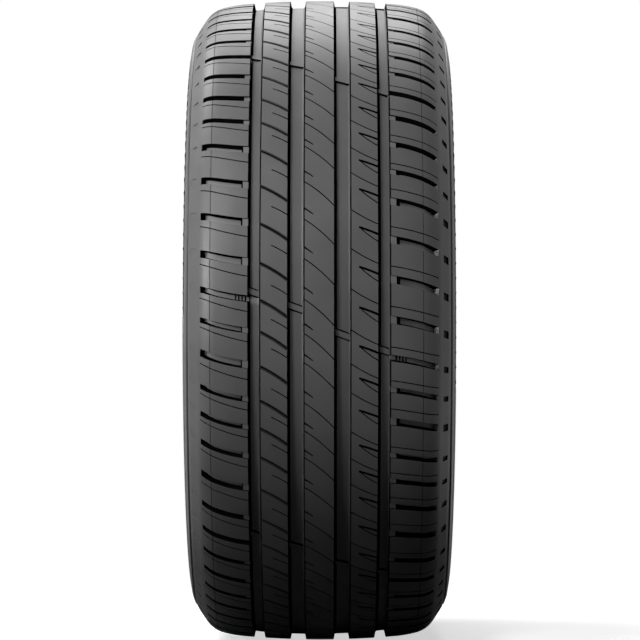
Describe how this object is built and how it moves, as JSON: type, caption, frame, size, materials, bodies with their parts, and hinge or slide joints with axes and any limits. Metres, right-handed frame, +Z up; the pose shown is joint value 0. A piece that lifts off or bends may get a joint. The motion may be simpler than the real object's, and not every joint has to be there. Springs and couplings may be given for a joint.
{
  "type": "car tyre",
  "caption": "Low-profile radial car tyre with an asymmetric grooved road tread, slotted shoulders and press-fit bead seats for a wheel rim.",
  "frame": {"origin": "wheel centre: the spin axis at the middle of the tyre's width", "axes": "+Y is the spin axis; +Z is up with the tyre standing; +X is forward"},
  "size_m": [0.668, 0.2656, 0.668],
  "materials": {
    "tyre": "satin moulded rubber"
  },
  "bodies": {
    "root": {"tyre": "tyre"}
  },
  "joints": []
}
